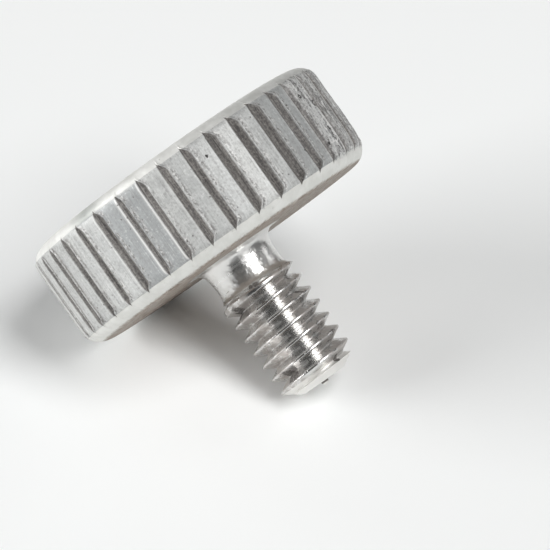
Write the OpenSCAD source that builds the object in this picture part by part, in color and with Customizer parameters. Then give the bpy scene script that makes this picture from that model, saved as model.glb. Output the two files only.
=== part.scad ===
// Knurled thumb screw, turned from one bar: a thick disc head with straight grooves round its rim,
// a turned neck, a short right-handed thread and a chamfered end with a small turning pip.
// It lies as it comes to rest, on the rounded edge of its head and the end of its thread.

/* [Head] */
// Diameter of the head over the lands between its grooves
head_d = 30.2; // [27:0.1:36]
// Thickness of the head, from its crown to its seat
head_t = 10.1; // [8:0.1:13]
// Radius of the rounded edge round the crown
crown_edge_r = 1.7; // [0.8:0.1:2.4]
// Radius of the rounded edge round the seat
seat_edge_r = 1.9; // [0.8:0.1:2.4]

/* [Grip grooves] */
// Number of straight grooves round the rim
groove_count = 38; // [24:1:44]
// Depth of each groove below the rim
groove_depth = 0.45; // [0.2:0.05:0.6]
// Included angle of each groove's V, in degrees
groove_angle = 96; // [80:1:110]

/* [Neck] */
// Diameter of the straight part of the neck
neck_d = 6.44; // [6:0.02:6.8]
// Radius of the hollow between the seat and the neck
seat_hollow_r = 1.45; // [1.2:0.05:1.7]
// Distance from the seat to where that hollow ends, a little less than its radius
seat_hollow_l = 1.4; // [1.1:0.05:1.6]
// Distance from the seat to where the thread's shoulder reaches the crests
shoulder_z = 3.66; // [3.4:0.02:4.2]
// Slope of the shoulder, in degrees from the axis
shoulder_angle = 30; // [25:1:45]
// Radius of the hollow between the neck and the shoulder
shoulder_hollow_r = 1; // [0.4:0.1:1.4]

/* [Thread] */
// Diameter over the thread's crests
thread_d = 7.7; // [7.4:0.1:8.2]
// Pitch of the thread, 18 turns to the inch
thread_pitch = 1.411; // [1.2:0.001:1.6]
// Included angle of the thread's V, in degrees
thread_angle = 60; // [55:1:62]
// Width of the flat along each crest
crest_flat = 0.16; // [0.1:0.01:0.25]
// Distance from the seat to where the thread tool enters
thread_start_z = 3.21; // [2.6:0.01:3.6]
// Turn of that place about the shank, in degrees from the line that lies on the table
thread_start_turn = 190; // [0:5:355]
// Share of a turn over which the tool reaches full depth
thread_run_in = 0.5; // [0.2:0.05:0.9]

/* [Shank end] */
// Length of the shank, from the seat to its end face
shank_l = 14; // [11:0.5:24]
// Length of the chamfer at the end
end_chamfer_l = 1.05; // [0.6:0.05:1.6]
// Diameter of the end face
end_face_d = 4.4; // [3.6:0.1:5]
// Diameter of the turning pip on the end face
pip_d = 0.64; // [0.4:0.02:1]
// Height of the turning pip
pip_h = 0.35; // [0.2:0.05:0.5]

/* [Hidden] */
$fn = 96;
head_r = head_d / 2;
thread_r = thread_d / 2;
// Depth of the thread's V, from the crest down to its sharp root
thread_depth = (thread_pitch - crest_flat) / 2 / tan(thread_angle / 2);
thread_root_r = thread_r - thread_depth;
// How far a cutter stands out of the metal
cut_clear = 0.1;
// Straight steps that make one turn of the thread tool's path
steps_per_turn = 36;
neck_r = neck_d / 2;
// Radius at which the hollow beside the seat would lie flat along it
foot_r = neck_r + seat_hollow_r;
// Where the straight neck and the sloping shoulder would meet in a corner
shoulder_foot_z = shoulder_z - (thread_r - neck_r) / tan(shoulder_angle);
// How much of both lines the hollow takes away at that corner
corner_reach = shoulder_hollow_r * tan(shoulder_angle / 2);
// Corner between the crests and the end chamfer, which lies on the table
end_corner_z = shank_l - end_chamfer_l;
// Slope of the lying screw: its seat edge and end corner touch one level line
rest_reach = norm([head_r - seat_edge_r - thread_r, end_corner_z + seat_edge_r]);
rest_slope = atan2(head_r - seat_edge_r - thread_r, end_corner_z + seat_edge_r)
    + asin(seat_edge_r / rest_reach);
// Height of the seat's centre above the table
rest_z = thread_r * cos(rest_slope) + end_corner_z * sin(rest_slope);
// Reach of the lying screw each way along the table from the seat's centre
reach_back = (head_r - crown_edge_r) * sin(rest_slope)
    + (head_t - crown_edge_r) * cos(rest_slope) + crown_edge_r;
reach_front = thread_r * sin(rest_slope) + end_corner_z * cos(rest_slope);
rest_x = (reach_back - reach_front) / 2;

// Half of the head's section: a plate whose outer corners are rounded
module head_section() {
    difference() {
        translate([0, -head_t]) square([head_r, head_t]);
        translate([head_r - crown_edge_r, -head_t - cut_clear])
            square([crown_edge_r + cut_clear, crown_edge_r + cut_clear]);
        translate([head_r - seat_edge_r, -seat_edge_r])
            square([seat_edge_r + cut_clear, seat_edge_r + cut_clear]);
    }
    translate([head_r - crown_edge_r, crown_edge_r - head_t]) circle(crown_edge_r);
    translate([head_r - seat_edge_r, -seat_edge_r]) circle(seat_edge_r);
}

// Half of the shank's section: a straight neck with a hollow at each end, a sloping shoulder,
// a plain blank for the thread, and a chamfered end
module shank_section() {
    difference() {
        polygon([
            [0, -head_t / 2],
            [foot_r, -head_t / 2],
            [foot_r, seat_hollow_l],
            [neck_r, seat_hollow_l],
            [neck_r, shoulder_foot_z - corner_reach],
            [
                neck_r + corner_reach * sin(shoulder_angle),
                shoulder_foot_z + corner_reach * cos(shoulder_angle)
            ],
            [thread_r, shoulder_z],
            [thread_r, end_corner_z],
            [end_face_d / 2, shank_l],
            [pip_d / 2, shank_l],
            [pip_d / 2, shank_l + pip_h],
            [0, shank_l + pip_h]
        ]);
        translate([foot_r, seat_hollow_l]) circle(seat_hollow_r);
        translate([neck_r + shoulder_hollow_r, shoulder_foot_z - corner_reach])
            circle(shoulder_hollow_r);
    }
}

// One straight V cut along the rim, on the side that lies on the table
module grip_cut() {
    half_w = (groove_depth + cut_clear) * tan(groove_angle / 2);
    translate([0, 0, -head_t - cut_clear])
        linear_extrude(head_t + 2 * cut_clear)
            polygon([
                [head_r - groove_depth, 0],
                [head_r + cut_clear, -half_w],
                [head_r + cut_clear, half_w]
            ]);
}

// The path of the threading tool: a V swept along a helix, entering over part of a turn
module thread_cut() {
    turns = (shank_l + thread_pitch - thread_start_z) / thread_pitch;
    steps = ceil(turns * steps_per_turn);
    outer_r = thread_r + cut_clear;
    // Radius of the tool's point at a step, from just inside the outer radius down to the root
    function point_r(i) =
        let (entered = min(1, i / (thread_run_in * steps_per_turn)))
        outer_r - cut_clear / 2 - (outer_r - cut_clear / 2 - thread_root_r) * entered;
    function at(r, turn, z) = [r * cos(turn), r * sin(turn), z];
    // The three corners of the V at a step: its point, then its outer corners
    function corners(i) =
        let (
            turn = thread_start_turn + i * 360 / steps_per_turn,
            z = thread_start_z + i * thread_pitch / steps_per_turn,
            half_w = (outer_r - point_r(i)) * tan(thread_angle / 2)
        )
        [at(point_r(i), turn, z), at(outer_r, turn, z - half_w), at(outer_r, turn, z + half_w)];
    points = [for (i = [0 : steps]) each corners(i)];
    // Two triangles on each of the V's three sides, from one step to the next
    sides = [
        for (i = [0 : steps - 1]) for (k = [0 : 2])
            let (a = 3 * i + k, b = 3 * i + (k + 1) % 3)
            each [[a, b, a + 3], [b, b + 3, a + 3]]
    ];
    ends = [[2, 1, 0], [3 * steps, 3 * steps + 1, 3 * steps + 2]];
    polyhedron(points, concat(sides, ends));
}

// The whole screw about its own axis, its seat at zero and its shank along +Z
module turned_screw() {
    difference() {
        rotate_extrude() {
            head_section();
            shank_section();
        }
        for (i = [0 : groove_count - 1])
            rotate([0, 0, i * 360 / groove_count]) grip_cut();
        thread_cut();
    }
}

module thumb_screw() {
    color([0.74, 0.74, 0.72])
        translate([rest_x, 0, rest_z])
            rotate([0, 90 + rest_slope, 0]) turned_screw();
}

thumb_screw();
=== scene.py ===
# %% [markdown]
# # A knurled thumb screw, lying on a table
# The screw is one piece of turned metal: a thick disc head with straight grooves round its rim, a
# hollowed neck, a short coarse thread and a chamfered end. It lies on the edge of its head and on the
# end of its thread. The imported solid gives its place and its size, so it is loaded first.

# %% Load the imported screw
import math

import bpy
import numpy as np
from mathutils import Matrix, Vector, noise
from mathutils.bvhtree import BVHTree


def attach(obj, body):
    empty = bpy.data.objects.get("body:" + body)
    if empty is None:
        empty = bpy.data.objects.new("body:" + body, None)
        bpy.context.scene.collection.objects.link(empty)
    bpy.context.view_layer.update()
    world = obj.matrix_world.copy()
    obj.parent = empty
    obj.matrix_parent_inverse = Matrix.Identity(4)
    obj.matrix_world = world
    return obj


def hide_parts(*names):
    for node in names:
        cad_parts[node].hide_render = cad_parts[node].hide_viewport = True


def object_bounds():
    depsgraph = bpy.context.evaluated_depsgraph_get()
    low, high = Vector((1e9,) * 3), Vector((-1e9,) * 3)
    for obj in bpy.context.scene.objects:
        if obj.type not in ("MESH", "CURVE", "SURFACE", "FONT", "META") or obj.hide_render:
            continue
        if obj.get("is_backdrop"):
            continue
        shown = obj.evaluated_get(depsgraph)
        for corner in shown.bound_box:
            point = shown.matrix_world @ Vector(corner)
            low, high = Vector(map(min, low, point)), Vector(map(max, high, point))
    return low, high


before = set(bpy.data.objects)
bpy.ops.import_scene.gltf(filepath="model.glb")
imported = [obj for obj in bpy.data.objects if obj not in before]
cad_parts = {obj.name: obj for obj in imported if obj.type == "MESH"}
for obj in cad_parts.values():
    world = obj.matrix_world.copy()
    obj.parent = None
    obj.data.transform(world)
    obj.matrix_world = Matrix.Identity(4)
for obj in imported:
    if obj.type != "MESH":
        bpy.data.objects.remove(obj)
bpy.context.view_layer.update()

MM = 0.001
bpy.ops.object.select_all(action="DESELECT")

# %% [markdown]
# ## A pen for drawing sections
# A lathe part is fully told by half of its section. Blender has no single-point primitive, so a small
# plane is merged down to one point, and that point is then extruded along the straight lines of the
# section and spun about the centre of each round. All sections are drawn upright, with the screw's
# axis on Z, its seat at zero and its shank upwards, in millimetres.

# %% The pen
pen = [0.0, 0.0]


def start_section(name, r, z):
    """A new mesh of one point at radius r and height z, open in edit mode."""
    bpy.ops.object.select_all(action="DESELECT")
    bpy.ops.mesh.primitive_plane_add(size=MM)
    piece = bpy.context.object
    piece.name = piece.data.name = name
    bpy.ops.object.mode_set(mode="EDIT")
    bpy.ops.mesh.select_mode(type="VERT")
    bpy.ops.mesh.select_all(action="SELECT")
    bpy.ops.mesh.merge(type="CENTER")
    bpy.ops.transform.translate(value=(r * MM, 0, z * MM))
    pen[:] = [r, z]
    return piece


def line_to(r, z, steps=1):
    """Extrudes the last point in equal steps to radius r and height z."""
    move = ((r - pen[0]) / steps * MM, 0, (z - pen[1]) / steps * MM)
    for _ in range(steps):
        bpy.ops.mesh.extrude_vertices_move(TRANSFORM_OT_translate={"value": move})
    pen[:] = [r, z]


def arc_about(r, z, degrees, steps):
    """Spins the last point about the centre of a round, at radius r and height z."""
    turn = math.radians(degrees)
    bpy.ops.mesh.spin(steps=steps, angle=turn, center=(r * MM, 0, z * MM), axis=(0, 1, 0))
    dr, dz = pen[0] - r, pen[1] - z
    pen[:] = [r + dr * math.cos(turn) - dz * math.sin(turn), z + dr * math.sin(turn) + dz * math.cos(turn)]


def spin_round(steps):
    """Spins the drawn section all the way round the screw's axis and closes the seam."""
    bpy.ops.mesh.select_all(action="SELECT")
    bpy.ops.mesh.spin(steps=steps, angle=math.tau, center=(0, 0, 0), axis=(0, 0, 1))
    bpy.ops.mesh.select_all(action="SELECT")
    bpy.ops.mesh.remove_doubles(threshold=1e-7)


# %% [markdown]
# ## The head's blank
# On the real screw the head is a slice of bar with both of its corners rounded off. The grip was cut
# before the corners were finished, so the lands between the grooves end in a faint hard line where the
# corner begins. The section therefore runs round the crown's corner, breaks, goes down the rim, breaks
# again and goes round the seat's corner. The rows lie close together near the breaks, where the grooves
# run out in points. The number of steps round the rim is a whole number for each groove, so that every
# groove meets the same columns.

# %% Draw and spin the head
HEAD_R, HEAD_T = 15.1, 10.1
CROWN_ROUND, SEAT_ROUND = 1.7, 1.9
GROOVES, COLUMNS = 38, 24
# Heights of the two hard lines round the rim
CROWN_BREAK, SEAT_BREAK = -9.22, -1.1

head = start_section("thumb_screw_worn", HEAD_R - CROWN_ROUND - 0.6, -HEAD_T)
line_to(HEAD_R - CROWN_ROUND, -HEAD_T)
arc_about(HEAD_R - CROWN_ROUND, CROWN_ROUND - HEAD_T, 59, 14)
for r, z in [(14.93, CROWN_BREAK), (15.01, -9.06), (15.06, -8.80), (HEAD_R, -8.45)]:
    line_to(r, z)
line_to(HEAD_R, -1.75, 27)
for r, z in [(15.085, -1.55), (15.05, -1.33), (14.985, -1.13), (14.922, -1.097)]:
    line_to(r, z)
arc_about(HEAD_R - SEAT_ROUND, -SEAT_ROUND, 65, 15)
line_to(HEAD_R - SEAT_ROUND - 0.5, 0)
line_to(9.0, 0)
spin_round(GROOVES * COLUMNS)
bpy.ops.object.mode_set(mode="OBJECT")
print("head blank:", len(head.data.vertices), "points")

# %% [markdown]
# The crown is a flat disc, so the open ring there is simply filled with one face. Faces and edges are
# picked by their place, as a modeller would pick them with the mouse.

# %% Close the crown
def pick_edges(piece, wanted):
    """Selects, in edit mode, the edges whose two ends both pass a test of radius and height in mm."""
    bpy.ops.object.mode_set(mode="EDIT")
    bpy.ops.mesh.select_mode(type="EDGE")
    bpy.ops.mesh.select_all(action="DESELECT")
    bpy.ops.object.mode_set(mode="OBJECT")
    passed = [wanted(math.hypot(v.co.x, v.co.y) / MM, v.co.z / MM) for v in piece.data.vertices]
    for edge in piece.data.edges:
        edge.select = passed[edge.vertices[0]] and passed[edge.vertices[1]]
    bpy.ops.object.mode_set(mode="EDIT")


pick_edges(head, lambda r, z: r < 12.9 and z < -10)
bpy.ops.mesh.edge_face_add()
bpy.ops.object.mode_set(mode="OBJECT")
print("head blank:", len(head.data.polygons), "faces")

# %% [markdown]
# ## The grip grooves
# Each groove is a straight V cut along the rim, which runs out in a point where the corners round
# away. A boolean cut would give 38 grooves that are all alike, and the real ones are worn and burred.
# So the points of the blank are pressed in instead. No two grooves of an old hand screw are the same:
# some are cut deeper, some sit a little to one side, and along one stretch they are worn shallow.

# %% How each groove differs
def wander(seed, *place):
    """Smooth noise from about -1 to 1 at a place in millimetres."""
    x, y, z = (*place, 0, 0)[:3]
    return noise.noise(Vector((x + 17.3 * seed, y - 9.1 * seed, z + 4.7 * seed)))


PITCH = math.tau / GROOVES
GROOVE_HALF_ANGLE = math.radians(48)
# Depths in millimetres and shifts in degrees of the grooves that are known, by their number
DEPTHS = {12: .36, 13: .33, 14: .33, 15: .39, 16: .31, 17: .38, 18: .48, 19: .55, 20: .44, 21: .46, 22: .38,
          23: .355, 24: .31, 25: .26, 26: .41, 27: .34, 28: .34, 29: .33, 30: .34, 31: .34, 32: .36}
SHIFTS = {15: .5, 17: 1.2, 18: .02, 19: -.10, 20: .10, 21: .08, 22: .29, 23: .04, 24: -.62, 25: -.89,
          26: -.56, 27: -.52, 28: -.73, 29: -.73, 30: -1.1, 31: -1.0}
depth_of = np.array([DEPTHS.get(k, 0.38 + 0.09 * wander(1, 3.1 * k)) for k in range(GROOVES)])
shift_of = np.radians([SHIFTS.get(k, 0.2 + 0.5 * wander(2, 2.7 * k)) for k in range(GROOVES)])
print("groove depths in mm:", round(depth_of.min(), 2), "to", round(depth_of.max(), 2))

# %% [markdown]
# The lip of a groove must stay a hard line, also where it narrows to a point. So the columns of points
# follow it: seven of them share the groove's own width, which is measured for every row, the next
# four lie just outside the lip, where the burr will be, and the rest take up the land. Towards its ends
# a groove gets shallow and narrow, and its left lip runs on straight while the right one slants in.

# %% Lay the columns along the lips
points = np.empty((len(head.data.vertices), 3))
head.data.vertices.foreach_get("co", points.ravel())
points /= MM
radius, height = np.hypot(points[:, 0], points[:, 1]), points[:, 2].copy()
column = np.rint(np.arctan2(points[:, 1], points[:, 0]) / (PITCH / COLUMNS)).astype(int)
groove = np.rint(column / COLUMNS).astype(int)
step_out = column - groove * COLUMNS
groove %= GROOVES

# Height at which the grooves have run out at each end, and how far from there they are at full depth
CROWN_END, CROWN_FADE = -9.47, 0.85
SEAT_END, SEAT_FADE = -0.86, 0.75
half_pitch = HEAD_R * PITCH / 2
widen = math.tan(GROOVE_HALF_ANGLE)
full_depth = depth_of[groove]
full_lip = full_depth * widen
run_out = np.minimum((height - CROWN_END) / CROWN_FADE, (SEAT_END - height) / SEAT_FADE)
run_out = np.clip(run_out, 0, 1)
open_depth = np.minimum(full_depth - (HEAD_R - radius), full_depth * run_out)
open_lip = np.clip(open_depth * widen, 0, None)
lip = np.maximum(open_lip, 0.05)
# Places of the columns, in shares of the groove's half width and then in millimetres beyond the lip
INSIDE = np.array([0, .14, .32, .52, .74, .95, 1.0])
BEYOND = np.array([.035, .10, .19, .32])
on_land = len(INSIDE) + len(BEYOND)
steps = np.abs(step_out)
side = INSIDE[np.minimum(steps, len(INSIDE) - 1)] * lip
side = np.where(steps >= len(INSIDE), lip + BEYOND[np.clip(steps - len(INSIDE), 0, len(BEYOND) - 1)], side)
side = np.where(steps == on_land, (lip + BEYOND[-1] + half_pitch) / 2, side)
side = np.where(steps > on_land, half_pitch, side)
side *= np.sign(step_out)
across = side / HEAD_R
print("widest groove in mm:", round(2 * float(lip.max()), 2))

# %% Press the grooves in
wall = np.sqrt(across**2 + ((0.01 + 0.05 * run_out) / HEAD_R) ** 2)
v_radius = (radius - open_lip / widen) / (np.cos(across) - np.sin(wall) / widen)
pressed = np.minimum(radius, v_radius)
sunk = np.clip((radius - pressed) / 0.03, 0, 1)
moved = shift_of[groove] + 0.7 * (full_lip - open_lip) / HEAD_R
turn = groove * PITCH + across + moved * np.clip((half_pitch - np.abs(side)) / (half_pitch - 0.75), 0, 1)
print("deepest press in mm:", round(float((radius - pressed).max()), 3))

# %% [markdown]
# ## Burrs, wear and dents
# The cutter has thrown up a thin burr along the lips, and a curl of metal where it leaves the rim at
# each end. Handling has rubbed long streaks along the worn stretch and rounded off its corner at the
# seat, and knocks have left small round dents. They are all small moves along the radius, so they are
# added to the same numbers.

# %% Raise the burrs
def bell(value, centre, width):
    """A smooth bump of height 1."""
    return np.exp(-(((value - centre) / width) ** 2))


on_rim = (height > -9.9) & (height < -0.1) & (radius > 13.9)
beyond = np.abs(side) - lip
left, right = side > 0, side < 0
burr = np.zeros(len(points))
for k in range(GROOVES):
    for here, high in (((groove == k) & on_rim & left, 0.012), ((groove == k) & on_rim & right, 0.030)):
        i = np.nonzero(here)[0]
        out, z = beyond[i], height[i]
        coarse = np.array([wander(3, 0.9 * h, 5.0 * k, high) for h in z])
        fine = np.array([wander(4, 3.1 * h, 7.0 * k, high) for h in z])
        burr[i] += high * np.clip(0.7 + 1.5 * coarse + 1.5 * fine, 0, 2.4) * bell(out, 0.035, 0.05)
        if high > 0.02:
            burr[i] -= 0.022 * np.clip(0.8 + 1.2 * coarse - 1.1 * fine, 0, 2) * bell(out, 0.19, 0.06)
            curl = 0.6 + 0.6 * abs(wander(5, 1.9 * k))
            burr[i] += 0.09 * curl * bell(out, 0.06, 0.09) * bell(z, -1.22 - 0.1 * curl, 0.2)
            burr[i] -= 0.11 * curl * bell(out, 0.22, 0.07) * bell(z, -1.22 - 0.1 * curl, 0.2)
            burr[i] += 0.07 * curl * bell(out, 0.05, 0.09) * bell(z, -9.15, 0.2)
pressed += burr
print("highest burr in mm:", round(float(burr.max()), 3))

# %% Rub the worn stretch and knock the dents
WORN_FROM, WORN_TO = math.radians(118), math.radians(166)
worn = np.clip((turn % math.tau - WORN_FROM) / 0.1, 0, 1) * np.clip((WORN_TO - turn % math.tau) / 0.1, 0, 1)
above_crown, below_seat = height - CROWN_BREAK - 0.02, SEAT_BREAK - 0.05 - height
between_breaks = np.clip(above_crown / 0.2, 0, 1) * np.clip(below_seat / 0.2, 0, 1)
rounded_off = worn * np.clip((height + 3.2) / 2.1, 0, 1) ** 2 * np.clip(-0.1 - height, 0, 1)
pressed -= worn * (0.8 * burr + 0.22 * rounded_off)
# Place round the rim in degrees, height, radius and depth of each knock, in millimetres
KNOCKS = [(153.3, -6.1, 0.34, 0.10), (154.0, -3.9, 0.26, 0.12), (151.6, -3.45, 0.22, 0.11),
          (158.5, -7.4, 0.22, 0.07), (146.0, -5.2, 0.40, 0.07), (161.5, -2.2, 0.25, 0.08),
          (190.6, -6.9, 0.14, 0.05), (203.7, -7.6, 0.13, 0.05), (246.9, -5.0, 0.16, 0.05),
          (247.4, -3.5, 0.14, 0.05), (211.8, -4.6, 0.13, 0.05)]
rubbed = np.zeros(len(points))
for i in np.nonzero(worn > 0)[0]:
    around = turn[i] * HEAD_R
    rubbed[i] = 0.045 * wander(5, 1.5 * around, 0.3 * height[i])
    rubbed[i] += 0.03 * wander(6, 2.1 * around, 1.4 * height[i])
pressed += worn * between_breaks * rubbed
for degrees, z, size, depth in KNOCKS:
    away = np.hypot((turn - math.radians(degrees)) * HEAD_R, height - z)
    dent = depth * (0.35 * bell(away, size * 1.15, size * 0.35) - bell(away, 0, size * 0.75))
    pressed += np.where(on_rim, dent, 0)
print("knocks:", len(KNOCKS), "and", int((worn > 0).sum()), "points rubbed")

# %% [markdown]
# The finish will need to know these places too: how much grime and painted shade a groove holds, where the
# painted shadow line and the ragged strip beside the burr lie, where a lip gets a painted highlight, which
# stretch is worn, which lands have darkened, and where a painted dark reflection lies on the crown's corner.
# They are kept as attributes on the points, which travel with the mesh.

# %% Move the head's points and keep what the finish needs
def keep_on_points(piece, name, values):
    """Stores one number for each point of a mesh."""
    layer = piece.data.attributes.new(name, "FLOAT", "POINT")
    layer.data.foreach_set("value", np.asarray(values, np.float32))


# How dark each land has gone, by the number of the groove on its right, how much grime and painted shade a
# groove holds, how dark the painted shadow line beside its burr on the right is, and how bright the painted
# highlight on its left lip is
DARK_LANDS = {13: .7, 14: .6, 15: .6, 16: .6, 17: .6, 18: .5, 24: .75, 25: .8}
GRIME_AND_SHADE = {13: .8, 14: .9, 15: 1, 16: .75, 17: .8, 28: .9, 29: .9, 30: .9}
BURR_SHADOW_LINES = {28: .4, 29: .8, 30: .9, 31: .9, 32: .9, 33: .8, 14: .5, 15: .5, 16: .5}
LIP_HIGHLIGHTS = {14: .7, 15: .9, 16: .8, 17: .4, 20: .2, 23: .25, 24: 1, 25: 1, 26: .5, 27: .25}
land = np.where(side > 0, groove, groove - 1) % GROOVES
patina_of = np.array([DARK_LANDS.get(k, 0.12 + 0.25 * wander(8, 2.3 * k)) for k in range(GROOVES)])
grime_and_shade_of = np.array([GRIME_AND_SHADE.get(k, 0.95) for k in range(GROOVES)])
burr_shadow_of = np.array([BURR_SHADOW_LINES.get(k, 0) for k in range(GROOVES)])
lip_highlight_of = np.array([LIP_HIGHLIGHTS.get(k, 0.1) for k in range(GROOVES)])
# Turns of a dark band and a bright rub in the worn stretch, and of a painted dark reflection on the crown's
# corner
BAND_AT, RUB_AT, PATCH_AT = np.radians([143.7, 160, 251])
BAND_WIDTH, PATCH_WIDTH = np.radians([2.6, 6.875])
# The strip is wider on a few grooves
strip_width = np.where((groove > 28) & (groove < 35), 0.55, 0.28)
strip = np.where(right, np.clip(1 - np.abs(beyond - 0.2) / strip_width, 0, 1), 0) * between_breaks
# Painted highlight along the left lips, and a bright rub in the worn stretch
lip_highlight_and_rub = np.where(left, bell(beyond, 0.07, 0.09), 0) * lip_highlight_of[groove] * between_breaks
lip_highlight_and_rub += bell((turn - RUB_AT) * HEAD_R, 0, 0.14) * bell(height, -8.6, 0.45)
# A painted shadow line beside the burr on the right of some grooves, together with the dark band in the worn
# stretch
burr_shadow_and_band = np.where(right, bell(beyond, 0.28, 0.13), 0) * burr_shadow_of[groove]
burr_shadow_and_band = np.maximum(burr_shadow_and_band, 0.45 * bell(turn, BAND_AT, BAND_WIDTH)) * between_breaks
# A painted dark reflection on the crown's corner, kept with the darkened lands
corner_dark_reflection = bell(turn, PATCH_AT, PATCH_WIDTH)
dark = np.where(height < CROWN_BREAK, corner_dark_reflection, np.clip(patina_of, 0, 1)[land])
points = np.stack([pressed * np.cos(turn), pressed * np.sin(turn), height], 1)
head.data.vertices.foreach_set("co", (points * MM).astype(np.float32).ravel())
# The sunk attribute holds the grooves' grime and painted shade, and the painted shadow line beside the burrs
keep_on_points(head, "sunk", np.maximum(sunk * grime_and_shade_of[groove], burr_shadow_and_band))
keep_on_points(head, "ragged", strip)
keep_on_points(head, "painted_lip_highlight_and_rub", np.clip(lip_highlight_and_rub, 0, 1))
keep_on_points(head, "worn", worn)
keep_on_points(head, "patina_and_dark_reflection", np.where(height > SEAT_BREAK, 0, dark))
head.data.update()
print("head over its burrs in mm:", round(2 * float(pressed.max()), 2))

# %% [markdown]
# ## The shank's blank
# The shank is turned in one piece with the head: a slim neck that runs out in a round hollow at the seat
# and in a longer, softer one at the thread, a plain cylinder for the thread, a chamfer, and a flat end
# with the small pip that the parting tool leaves. The hollows aren't parts of circles, so the neck is
# drawn as a smooth curve through a few places. The shank is closed at the bottom for now, because a
# boolean cut needs a closed solid.

# %% Draw and spin the shank
THREAD_R, FOOT_R = 3.85, 4.3
SHANK_L, CHAMFER_L, END_R = 14.0, 1.05, 2.2
END_CORNER = SHANK_L - CHAMFER_L
SHANK_STEPS = GROOVES * 4
# Radius and height of places along the neck. The first, on the seat, and the last, on the thread's
# crests, are not drawn: they only say which way the curve sets out and arrives
NECK = [(4.7, 0), (FOOT_R, 0), (3.88, .12), (3.56, .38), (3.39, .72), (3.297, 1.15), (3.242, 1.66),
        (3.22, 2.18), (3.231, 2.64), (3.284, 3.02), (3.392, 3.30), (3.562, 3.49), (3.77, 3.67),
        (THREAD_R, 3.85), (THREAD_R, 4.2)]


def smooth_through(places):
    """All places but the first and last, with one more between each two, on a smooth curve."""
    places = np.array(places)
    curve = np.repeat(places[1:-1], 2, axis=0)[:-1]
    curve[1::2] = (9 * (places[1:-2] + places[2:-1]) - places[:-3] - places[3:]) / 16
    return curve


neck = smooth_through(NECK)
shank = start_section("shank", 0, -2)
line_to(FOOT_R, -2)
for r, z in neck.tolist():
    line_to(r, z)
line_to(THREAD_R, END_CORNER, 24)
line_to(END_R + 0.05, SHANK_L - 0.03, 5)
line_to(END_R - 0.05, SHANK_L)
line_to(0.46, SHANK_L, 3)
line_to(0.36, SHANK_L + 0.05)
line_to(0.31, SHANK_L + 0.25)
line_to(0.2, SHANK_L + 0.34)
line_to(0, SHANK_L + 0.36)
spin_round(SHANK_STEPS)
bpy.ops.mesh.normals_make_consistent(inside=False)
bpy.ops.object.mode_set(mode="OBJECT")
print("shank blank:", len(shank.data.polygons), "faces, slimmest radius", round(neck[:, 0].min(), 2), "mm")

# %% [markdown]
# ## The thread
# A lathe cuts the thread with a V tool that moves one pitch along for each turn. The tool's own
# section is drawn once, with a small round at its point and at its shoulders, so that roots and crests
# come out rounded. The Screw modifier carries it along the helix, and a boolean takes it out of the
# blank. The tool enters over part of a turn, so its first points stand further out.

# %% Draw the thread tool
THREAD_PITCH, START_Z, START_TURN, RUN_IN = 1.411, 3.21, 190, 0.5
ROOT_R, ROOT_ROUND, ENTRY_R = 2.767, 0.08, 3.9
TURNS = 9
# Radius and half width of the tool, from its back down to where its straight sides begin
SHOULDER = [(3.95, .70), (3.87, .69), (3.836, .6285), (3.8067, .6005)]

tool_back, half_back = SHOULDER[0]
tool = start_section("thread_tool", tool_back, -half_back)
for r, half_width in SHOULDER[1:]:
    line_to(r, -half_width)
line_to(ROOT_R + 1.5 * ROOT_ROUND, -0.866 * ROOT_ROUND, 5)
arc_about(ROOT_R + 2 * ROOT_ROUND, 0, -120, 4)
line_to(*SHOULDER[-1], 5)
for r, half_width in SHOULDER[-2::-1]:
    line_to(r, half_width)
line_to(tool_back, -half_back)
bpy.ops.mesh.select_all(action="SELECT")
bpy.ops.mesh.remove_doubles(threshold=1e-7)
bpy.ops.object.mode_set(mode="OBJECT")
print("thread tool:", len(tool.data.vertices), "corners")

# %% Carry the tool along its helix
helix = tool.modifiers.new("helix", "SCREW")
helix.axis, helix.angle, helix.screw_offset = "Z", math.tau, THREAD_PITCH * MM
helix.iterations, helix.steps, helix.render_steps = TURNS, SHANK_STEPS, SHANK_STEPS
bpy.ops.object.modifier_apply(modifier="helix")
corners = len(tool.data.vertices) // (TURNS * SHANK_STEPS + 1)
path = np.empty((len(tool.data.vertices), 3))
tool.data.vertices.foreach_get("co", path.ravel())
path_r = np.hypot(path[:, 0], path[:, 1]) / MM
path_turn = np.unwrap(np.arctan2(path[:, 1], path[:, 0]).reshape(-1, corners), axis=0).ravel()
print("tool path:", len(path), "points,", corners, "to a step, turns", round(path_turn.max() / math.tau, 3))

# %% Let the tool enter, and close its ends
still_out = np.clip(1 - path_turn / (RUN_IN * math.tau), 0, 1)
path_r += still_out * (ENTRY_R - ROOT_R)
path[:, 0], path[:, 1] = path_r * np.cos(path_turn) * MM, path_r * np.sin(path_turn) * MM
tool.data.vertices.foreach_set("co", path.astype(np.float32).ravel())
tool.rotation_euler.z, tool.location.z = math.radians(START_TURN), START_Z * MM
bpy.ops.object.transform_apply(location=True, rotation=True, scale=True)
bpy.ops.object.mode_set(mode="EDIT")
bpy.ops.mesh.select_all(action="SELECT")
bpy.ops.mesh.fill_holes(sides=0)
bpy.ops.mesh.select_all(action="SELECT")
bpy.ops.mesh.normals_make_consistent(inside=False)
bpy.ops.object.mode_set(mode="OBJECT")
print("tool path closed:", len(tool.data.polygons), "faces")

# %% Cut the thread and open the foot
bpy.ops.object.select_all(action="DESELECT")
shank.select_set(True)
bpy.context.view_layer.objects.active = shank
cut = shank.modifiers.new("thread", "BOOLEAN")
cut.operation, cut.solver, cut.object = "DIFFERENCE", "EXACT", tool
bpy.ops.object.modifier_apply(modifier="thread")
bpy.data.objects.remove(tool)
pick_edges(shank, lambda r, z: z < -1)
bpy.ops.mesh.delete(type="VERT")
bpy.ops.mesh.select_all(action="SELECT")
bpy.ops.mesh.remove_doubles(threshold=2e-6)
bpy.ops.object.mode_set(mode="OBJECT")
print("threaded shank:", len(shank.data.polygons), "faces")

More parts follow.
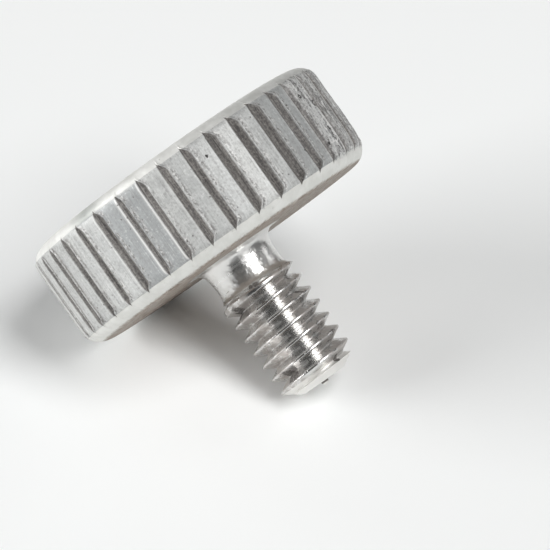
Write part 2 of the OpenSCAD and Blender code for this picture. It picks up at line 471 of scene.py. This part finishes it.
# %% [markdown]
# ## One piece
# Head and shank are the same bar, so they are joined into one mesh, and the seat between the two open
# rings is closed with a bridge. The bridge also copes with rings of different counts.

# %% Join and bridge
bpy.ops.object.select_all(action="DESELECT")
shank.select_set(True)
head.select_set(True)
bpy.context.view_layer.objects.active = head
bpy.ops.object.join()
screw = head
bpy.ops.object.mode_set(mode="EDIT")
bpy.ops.mesh.select_mode(type="EDGE")
bpy.ops.mesh.select_all(action="DESELECT")
bpy.ops.mesh.select_non_manifold(extend=False, use_wire=False, use_boundary=True, use_multi_face=False,
                                 use_non_contiguous=False, use_verts=False)
bpy.ops.mesh.bridge_edge_loops()
bpy.ops.mesh.select_all(action="SELECT")
bpy.ops.mesh.normals_make_consistent(inside=False)
bpy.ops.mesh.select_all(action="DESELECT")
bpy.ops.mesh.select_non_manifold(extend=False)
bpy.ops.object.mode_set(mode="OBJECT")
loose = sum(edge.select for edge in screw.data.edges)
print("whole screw:", len(screw.data.polygons), "faces,", loose, "edges that don't join two faces")

# %% [markdown]
# ## What the finish needs to know
# Dirt gathers where the metal is sunk: in the rim's grooves and in the roots of the thread. In the rim's
# grooves the same darkening is also painted shade, and the painted shadow line beside the burrs is kept with
# it. The depth below the blank is kept as an attribute on the points, from 0 on the outside to 1 at the
# bottom of a groove, so that the material can darken the same places the tool has cut. A few crumbs of old
# dirt stick to the thread, and they are kept in the same way.

# %% Measure how deep each point is sunk
points = np.empty((len(screw.data.vertices), 3))
screw.data.vertices.foreach_get("co", points.ravel())
points /= MM
radius, height = np.hypot(points[:, 0], points[:, 1]), points[:, 2]
sunk = np.empty(len(points), np.float32)
screw.data.attributes["sunk"].data.foreach_get("value", sunk)
threaded = (height > 3.0) & (height < SHANK_L - 0.05)
blank_r = np.interp(height, [*neck[:, 1], END_CORNER, SHANK_L], [*neck[:, 0], THREAD_R, END_R])
sunk[threaded] = np.clip((blank_r - radius) / (THREAD_R - ROOT_R), 0, 1)[threaded]
screw.data.attributes["sunk"].data.foreach_set("value", sunk)
# Turn about the shank in degrees, height and size in millimetres of each crumb of dirt
CRUMBS = [(257, 11.9, 0.75), (248, 12.2, 0.4), (174, 13.0, 0.4), (216, 3.60, 0.32), (223, 3.54, 0.25),
          (163, 6.3, 0.3), (264, 4.5, 0.5), (276, 5.0, 0.5), (224, 4.4, 0.3), (150, 4.3, 0.3),
          (158, 10.9, 0.3)]
crumb = np.zeros(len(points))
for degrees, z, size in CRUMBS:
    turned = np.degrees(np.arctan2(points[:, 1], points[:, 0])) - degrees
    away = np.hypot(np.radians((turned + 180) % 360 - 180) * 3.6, height - z)
    crumb = np.maximum(crumb, np.where(radius < 4.2, bell(away, 0, size), 0))
keep_on_points(screw, "crumbs", crumb)
print("sunk points:", int((sunk > 0.1).sum()), "of", len(sunk), "and", len(CRUMBS), "crumbs")

# %% [markdown]
# ## Lay the screw down
# The screw was modelled upright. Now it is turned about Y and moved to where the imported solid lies,
# and the move is applied, so that its place is in its mesh. The distance of every point from the
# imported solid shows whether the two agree.

# %% Turn it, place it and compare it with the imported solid
LYING_TURN, LYING_PLACE = math.radians(128.411), Vector((2.0343, 0, 11.063)) * MM
bpy.ops.object.select_all(action="DESELECT")
screw.select_set(True)
bpy.context.view_layer.objects.active = screw
screw.rotation_euler = (0, LYING_TURN, 0)
screw.location = LYING_PLACE
bpy.ops.object.transform_apply(location=True, rotation=True, scale=True)
bpy.ops.object.shade_smooth_by_angle(angle=math.radians(38))
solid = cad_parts["thumb_screw"].data
solid_skin = BVHTree.FromPolygons([v.co for v in solid.vertices], [p.vertices for p in solid.polygons])
apart = np.array([solid_skin.find_nearest(v.co)[3] for v in screw.data.vertices]) / MM
print("apart from the solid in mm: mean", round(apart.mean(), 3), "most", round(apart.max(), 3))

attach(screw, "root")
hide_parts("thumb_screw")

# %% [markdown]
# ## The metal
# Bare turned metal that has been handled for years: the rim is satin and mottled, the neck and the
# thread are still polished, the grooves and roots hold brown-grey dirt, and the seat is stained. One
# material does all of it, because it is one piece of metal, and its parts are told apart by their
# place. A Mapping node turns Object coordinates back to the upright screw, in millimetres, so that
# every pattern can be written as on a drawing.

# %% Start the metal
metal = bpy.data.materials.new("worn_turned_metal")
metal.use_nodes = True
tree = metal.node_tree
tree.nodes.clear()


def add(kind, ins=None, **settings):
    """A node with its settings, and its inputs set or linked by name or number."""
    made = tree.nodes.new(kind)
    for name, value in settings.items():
        setattr(made, name, value)
    for name, value in (ins or {}).items():
        if isinstance(value, bpy.types.NodeSocket):
            tree.links.new(value, made.inputs[name])
        else:
            made.inputs[name].default_value = value
    return made


def maths(operation, a, b=0.0, c=0.0):
    """One sum of the Math node."""
    return add("ShaderNodeMath", {0: a, 1: b, 2: c}, operation=operation).outputs[0]


def ramp(value, low, high, to_low=0.0, to_high=1.0):
    """A smooth step from low to high."""
    made = add("ShaderNodeMapRange", {0: value, 1: low, 2: high, 3: to_low, 4: to_high},
               interpolation_type="SMOOTHSTEP", clamp=True)
    return made.outputs[0]


def blend_colour(share, a, b):
    """Colour a where share is 0 and b where it is 1."""
    made = add("ShaderNodeMix", {"Factor": share}, data_type="RGBA")
    for socket, value in zip([made.inputs[6], made.inputs[7]], (a, b)):
        if isinstance(value, bpy.types.NodeSocket):
            tree.links.new(value, socket)
        else:
            socket.default_value = (*value, 1)
    return made.outputs[2]


def blend(share, a, b):
    """Number a where share is 0 and b where it is 1."""
    return add("ShaderNodeMix", {"Factor": share, 2: a, 3: b}).outputs[0]


def cloud(vector, scale, detail=3.0, rough=0.55):
    """The value of a Noise texture."""
    ins = {"Vector": vector, "Scale": scale, "Detail": detail, "Roughness": rough}
    return add("ShaderNodeTexNoise", ins).outputs[0]


def stretched(x, y, z):
    """Three numbers as one vector."""
    return add("ShaderNodeCombineXYZ", {0: x, 1: y, 2: z}).outputs[0]


upright = add("ShaderNodeMapping", {
    "Vector": add("ShaderNodeTexCoord").outputs["Object"],
    "Location": LYING_PLACE,
    "Rotation": (0, LYING_TURN, 0),
    "Scale": (MM, MM, MM),
}, vector_type="TEXTURE").outputs[0]
split = add("ShaderNodeSeparateXYZ", {0: upright})
px, py, pz = split.outputs
from_axis = maths("SQRT", maths("ADD", maths("MULTIPLY", px, px), maths("MULTIPLY", py, py)))
print("metal started with", len(tree.nodes), "nodes")

# %% [markdown]
# The places of the finish come first. The lands are the rim between the two hard lines, and a little
# noise keeps those lines from being perfect. The stain covers the outer part of the seat. The noises
# have the sizes of what they stand for: fine grain, hand-sized mottle, streaks along the screw and
# tool rings round it.

# %% Tell the places apart
def read(name):
    """A number that was kept on the points."""
    return add("ShaderNodeAttribute", attribute_name=name).outputs["Fac"]


def times(a, b):
    return maths("MULTIPLY", a, b)


def without(share):
    return maths("SUBTRACT", 1.0, share)


sunk_grime_and_shade, ragged, worn_here, patina_and_dark_reflection = read("sunk"), read("ragged"), read("worn"), read("patina_and_dark_reflection")
painted_lip_highlight_and_rub, crumbs = read("painted_lip_highlight_and_rub"), read("crumbs")
mottle = cloud(upright, 0.8, 4.0, 0.6)
patches = cloud(upright, 0.33, 3.0)
grain = cloud(upright, 4.5, 4.0, 0.7)
streaks = cloud(stretched(times(px, 2.6), times(py, 2.6), times(pz, 0.3)), 1.0, 4.0)
scratches = cloud(stretched(times(px, 8.0), times(py, 8.0), times(pz, 0.35)), 1.0, 2.0)
rings = cloud(stretched(times(px, 0.12), times(py, 0.12), times(maths("ADD", pz, from_axis), 7.0)), 1.0, 3.0)
edge_z = maths("ADD", pz, maths("MULTIPLY_ADD", mottle, 0.12, -0.06))
edge_z = maths("ADD", edge_z, times(worn_here, maths("MULTIPLY_ADD", grain, 1.6, -0.8)))
rim_share = ramp(from_axis, 13.3, 13.9)
shank_share = times(ramp(pz, -0.05, 0.05), ramp(from_axis, 4.9, 4.6))
thread_share = ramp(pz, 3.35, 3.6)
seat_edge = ramp(maths("MULTIPLY_ADD", grain, 0.35, pz), -0.06, 0.12)
seat_share = times(seat_edge, times(ramp(from_axis, 4.5, 5.3), without(shank_share)))
past_crown = ramp(edge_z, CROWN_BREAK - 0.02, CROWN_BREAK + 0.03)
land_share = times(rim_share, times(past_crown, ramp(edge_z, SEAT_BREAK + 0.03, SEAT_BREAK - 0.03)))
pit_spots = add("ShaderNodeTexVoronoi", {"Vector": upright, "Scale": 1.5}, feature="F1").outputs["Distance"]
pits = times(ramp(pit_spots, 0.14, 0.07), ramp(patches, 0.44, 0.56))
worn_land = times(worn_here, land_share)
holes, floors = 0.0, 0.0
# Turn round the rim in degrees, height and radius in millimetres of each large pit
PITS = [(158.75, -7.4, .28), (153.5, -6.3, .40), (154.75, -3.8, .27), (151.75, -3.5, .27), (160.5, -2.6, .18),
        (246.6, -4.9, .16), (203.7, -7.5, .15), (190.6, -6.9, .16), (172.5, -3.2, .18)]
for degrees, z, size in PITS:
    place = (HEAD_R * math.cos(math.radians(degrees)), HEAD_R * math.sin(math.radians(degrees)), z)
    away = add("ShaderNodeVectorMath", {0: upright, 1: place}, operation="DISTANCE").outputs["Value"]
    ragged_away = maths("ADD", away, maths("MULTIPLY_ADD", grain, 0.5, -0.25))
    pits = maths("MAXIMUM", pits, ramp(ragged_away, size, size * 0.5))
    holes = maths("MAXIMUM", holes, ramp(ragged_away, size * 0.85, size * 0.55))
    if size > 0.25:
        floors = maths("MAXIMUM", floors, ramp(ragged_away, size * 0.35, size * 0.15))
print("places told apart with", len(tree.nodes), "nodes")

# %% [markdown]
# The rim has two metals to look at: pale, handled bands on its rounded corners, and greyer lands between
# the grooves, speckled with fine scratches. Each is a mix of two greys, and the kept attributes lay the
# worn stretch, the ragged strips, the painted highlights on the lips and a painted dark reflection on the
# crown's corner over them.

# %% Colour of the rim
band_tone = blend_colour(ramp(mottle, 0.3, 0.7), (0.67, 0.67, 0.64), (0.77, 0.77, 0.745))
# On the crown's band this darkening is a painted dark reflection
band_tone = blend_colour(times(patina_and_dark_reflection, 0.8), band_tone, (0.38, 0.40, 0.38))
land_tone = blend_colour(ramp(mottle, 0.3, 0.7), (0.47, 0.475, 0.465), (0.56, 0.565, 0.55))
land_tone = blend_colour(patina_and_dark_reflection, land_tone, (0.29, 0.305, 0.31))
fine = maths("ADD", times(grain, 0.6), times(scratches, 0.4))
land_tone = blend_colour(ramp(fine, 0.47, 0.64, 0.0, 0.65), land_tone, (0.27, 0.265, 0.26))
land_tone = blend_colour(ramp(fine, 0.46, 0.34, 0.0, 0.45), land_tone, (0.74, 0.74, 0.73))
rim_tone = blend_colour(land_share, band_tone, land_tone)
worn_lines = maths("ADD", times(streaks, 0.55), times(grain, 0.45))
worn_tone = blend_colour(ramp(worn_lines, 0.44, 0.57), (0.66, 0.66, 0.65), (0.12, 0.112, 0.11))
worn_tone = blend_colour(ramp(cloud(upright, 2.2, 2.0), 0.54, 0.66), worn_tone, (0.80, 0.795, 0.78))
rim_tone = blend_colour(times(worn_land, 0.8), rim_tone, worn_tone)
speckle = ramp(cloud(stretched(px, py, times(pz, 0.7)), 5.5, 4.0, 0.7), 0.42, 0.62)
speck_tone = blend_colour(speckle, (0.16, 0.15, 0.145), (0.64, 0.635, 0.62))
broken = ramp(cloud(upright, 1.9, 2.0), 0.34, 0.56, 0.15, 0.9)
rim_tone = blend_colour(times(ragged, broken), rim_tone, speck_tone)
# Painted highlight on the lips, and the bright rub
rim_tone = blend_colour(times(painted_lip_highlight_and_rub, 0.85), rim_tone, (0.78, 0.775, 0.76))
print("rim coloured with", len(tree.nodes), "nodes")

# %% [markdown]
# The neck and the upper side of the thread are rubbed clean. A dull brown film has stayed on the sides
# of the thread, the end is pale and dull, and the foot of the pip is painted dark as shade. The side is told
# by the angle round the screw's axis, so the film stays on the metal from whatever side it is seen.

# %% Colour of the shank and the crown
CLEAN_SIDE = math.radians(213)
towards_clean = maths("ADD", times(px, math.cos(CLEAN_SIDE)), times(py, math.sin(CLEAN_SIDE)))
top_side = maths("DIVIDE", towards_clean, from_axis)
film = times(times(shank_share, thread_share), ramp(top_side, 0.975, 0.88))
film = times(film, ramp(cloud(upright, 1.1, 3.0), 0.42, 0.58, 0.15, 1.0))
end_share = times(shank_share, ramp(pz, END_CORNER - 0.07, END_CORNER + 0.05))
thread_tone = blend_colour(times(film, 0.8), (0.665, 0.66, 0.65), (0.41, 0.378, 0.355))
thread_tone = blend_colour(end_share, thread_tone, (0.80, 0.79, 0.765))
# Painted shade round the foot of the pip
pip_foot_shade = times(ramp(pz, SHANK_L, SHANK_L + 0.04), ramp(pz, SHANK_L + 0.22, SHANK_L + 0.14))
thread_tone = blend_colour(pip_foot_shade, thread_tone, (0.16, 0.145, 0.135))
shank_tone = blend_colour(thread_share, (0.78, 0.775, 0.76), thread_tone)
face_tone = blend_colour(ramp(rings, 0.35, 0.65), (0.40, 0.395, 0.385), (0.52, 0.515, 0.50))
face_tone = blend_colour(ramp(fine, 0.47, 0.64, 0.0, 0.5), face_tone, (0.30, 0.295, 0.29))
head_tone = blend_colour(ramp(from_axis, 13.2, 13.7), face_tone, rim_tone)
tone = blend_colour(shank_share, head_tone, shank_tone)
print("shank and crown coloured with", len(tree.nodes), "nodes")

# %% [markdown]
# Dirt and painted shade lie in the grooves, dirt lies in the roots of the thread and in the pits, and a brown
# stain covers the seat. They come last, because on the real screw they lie over the metal.

# %% Dirt and stain
dirt_and_shade_tone = blend_colour(ramp(fine, 0.38, 0.62), (0.25, 0.235, 0.22), (0.065, 0.058, 0.055))
stain_spots = ramp(cloud(upright, 1.6, 5.0, 0.7), 0.35, 0.65)
stain_tone = blend_colour(stain_spots, (0.17, 0.13, 0.10), (0.40, 0.34, 0.29))
# On the rim this darkening is grime and painted shade in the grooves, with the painted burr shadow line
groove_dirt_and_shade = times(sunk_grime_and_shade, without(times(ramp(grain, 0.55, 0.75), 0.3)))
root_dirt = times(ramp(sunk_grime_and_shade, 0.72, 1.0), ramp(mottle, 0.44, 0.66, 0.0, 0.5))
dirt_and_shade = blend(shank_share, groove_dirt_and_shade, root_dirt)
dirt_and_shade = maths("MAXIMUM", dirt_and_shade, times(times(pits, land_share), 0.85))
ragged_crumbs = maths("ADD", crumbs, maths("MULTIPLY_ADD", grain, 0.9, -0.45))
dirt_and_shade = maths("MAXIMUM", dirt_and_shade, ramp(ragged_crumbs, 0.40, 0.62))
tone = blend_colour(dirt_and_shade, tone, dirt_and_shade_tone)
tone = blend_colour(times(holes, without(floors)), tone, (0.03, 0.028, 0.027))
tone = blend_colour(floors, tone, (0.50, 0.49, 0.48))
stain = times(seat_share, ramp(cloud(upright, 0.7, 4.0, 0.65), 0.32, 0.56, 0.55, 1.0))
tone = blend_colour(stain, tone, stain_tone)
print("metal coloured with", len(tree.nodes), "nodes")

# %% [markdown]
# The gloss tells the metals apart: the neck and thread are polished, the rim is satin, and film, dirt (with
# the painted shade in the grooves) and stain are dull. A little relief stands for what is too small to model:
# grain, tool rings, pits, and the slight waves that break up the reflections on the neck.

# %% Gloss and grain
gloss = ramp(maths("ADD", mottle, times(grain, 0.5)), 0.5, 1.0, 0.46, 0.62)
neck_gloss = ramp(rings, 0.3, 0.7, 0.27, 0.33)
shank_gloss = blend(thread_share, neck_gloss, ramp(grain, 0.3, 0.7, 0.19, 0.26))
filmed = maths("MAXIMUM", film, end_share)
shank_gloss = blend(filmed, shank_gloss, 0.42)
gloss = blend(shank_share, gloss, shank_gloss)
dull = maths("MAXIMUM", dirt_and_shade, seat_share)
gloss = blend(dull, gloss, 0.62)
rim_metal = blend(land_share, 0.45, 0.28)
bright_share = blend(shank_share, rim_metal, 1.0)
dulled = maths("MAXIMUM", dull, times(0.5, filmed))
metal_share = times(bright_share, without(times(dulled, 0.8)))
relief = maths("ADD", times(grain, 0.016), times(rings, 0.005))
relief = maths("SUBTRACT", maths("ADD", relief, times(streaks, 0.010)), times(pits, 0.09))
relief = maths("ADD", relief, times(times(maths("ADD", worn_lines, mottle), worn_land), -0.16))
relief = times(relief, without(times(shank_share, 0.9)))
waves = times(cloud(upright, 1.3, 2.0), ramp(thread_share, 0.0, 1.0, 0.10, 0.012))
relief = maths("ADD", relief, times(waves, shank_share))
bump = add("ShaderNodeBump", {"Height": relief, "Strength": 0.8, "Distance": MM}).outputs[0]
shader = add("ShaderNodeBsdfPrincipled",
             {"Base Color": tone, "Metallic": metal_share, "Roughness": gloss, "Normal": bump})
add("ShaderNodeOutputMaterial", {"Surface": shader.outputs[0]})
screw.data.materials.clear()
screw.data.materials.append(metal)
print("metal finished with", len(tree.nodes), "nodes")

# %% [markdown]
# ## The table and the light
# The screw lies on a plain pale table top. A large soft lamp stands low on the left, a weaker one on the
# right, and a strip lamp hangs over the right of the camera and draws the white line down the neck and
# the thread. A card low on the right lights the hollow under the seat, and a small lamp at the back puts
# the bright edge on the crown. The room itself is dark, and the polished neck shows it as a dark patch
# between the strip and the table.

# %% Table top
bpy.ops.object.select_all(action="DESELECT")
bpy.ops.mesh.primitive_plane_add(size=3.0)
table = bpy.context.object
table.name = "table_top"
table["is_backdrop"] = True


def plain_material(name, colour, rough):
    """A material of one colour for the studio."""
    made = bpy.data.materials.new(name)
    made.use_nodes = True
    coat = made.node_tree.nodes["Principled BSDF"]
    coat.inputs["Base Color"].default_value = (*colour, 1)
    coat.inputs["Roughness"].default_value = rough
    coat.inputs["Specular IOR Level"].default_value = 0.2
    return made


table.data.materials.append(plain_material("pale_table", (0.93, 0.94, 0.935), 0.7))

# %% Lamps and room
def soft_lamp(name, place, aim, width, length, power):
    """A rectangular lamp at a place, facing an aim point."""
    bpy.ops.object.light_add(type="AREA", location=place)
    lamp = bpy.context.object
    lamp.name = name
    lamp.data.shape, lamp.data.size, lamp.data.size_y, lamp.data.energy = "RECTANGLE", width, length, power
    lamp.rotation_euler = (Vector(aim) - Vector(place)).to_track_quat("-Z", "Y").to_euler()
    lamp.visible_camera = False
    return lamp


middle = Vector((0, 0, 0.012))
to_right, to_front, upward = Vector((0.739, 0.674, 0)), Vector((0.674, -0.739, 0)), Vector((0, 0, 1))
left_way = -0.935 * to_right + 0.19 * to_front + 0.30 * upward
soft_lamp("left_box", middle + 1.5 * left_way, middle, 1.15, 0.75, 23.0)
right_way = 0.78 * to_right - 0.42 * to_front + 0.45 * upward
soft_lamp("right_box", middle + 1.0 * right_way, middle, 0.42, 0.32, 0.62)
soft_lamp("right_card", middle + 1.0 * Vector((0.95, -0.02, 0.25)), middle, 0.70, 0.40, 0.75)
soft_lamp("back_box", middle + 0.9 * Vector((-0.92, -0.06, 0.36)), middle, 0.32, 0.32, 0.5)
soft_lamp("top_strip", middle + 2.20 * Vector((0.58, -0.03, 0.81)), middle, 0.86, 1.50, 36.5)
room = bpy.data.worlds.new("room")
bpy.context.scene.world = room
room.use_nodes = True
room.node_tree.nodes["Background"].inputs["Color"].default_value = (0.06, 0.06, 0.06, 1)
room.node_tree.nodes["Background"].inputs["Strength"].default_value = 1.0

# %% [markdown]
# ## The camera
# The camera looks down on the screw from its thread side, from a third of a metre away through a long
# lens, as close-up pictures are taken. The square picture is 550 pixels wide.

# %% Camera
SENSOR_WIDTH, PICTURE_WIDTH = 36.0, 550
FOCAL_LENGTH = 3986.6 / PICTURE_WIDTH * SENSOR_WIDTH
bpy.ops.object.camera_add(location=(0.19160, -0.20227, 0.23199))
camera = bpy.context.object
camera.rotation_euler = (math.radians(90 - 38.888), 0, math.radians(42.373))
camera.data.sensor_width, camera.data.lens = SENSOR_WIDTH, FOCAL_LENGTH
camera.data.clip_start, camera.data.clip_end = 0.01, 20
bpy.context.scene.camera = camera
bpy.context.scene.view_settings.view_transform = "Standard"
print("camera", round(math.degrees(camera.data.angle), 2), "degrees wide")

# %% Measure the visual box and finish
low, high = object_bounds()
print("visual box in mm", [round(c / MM, 2) for c in (*low, *high)])
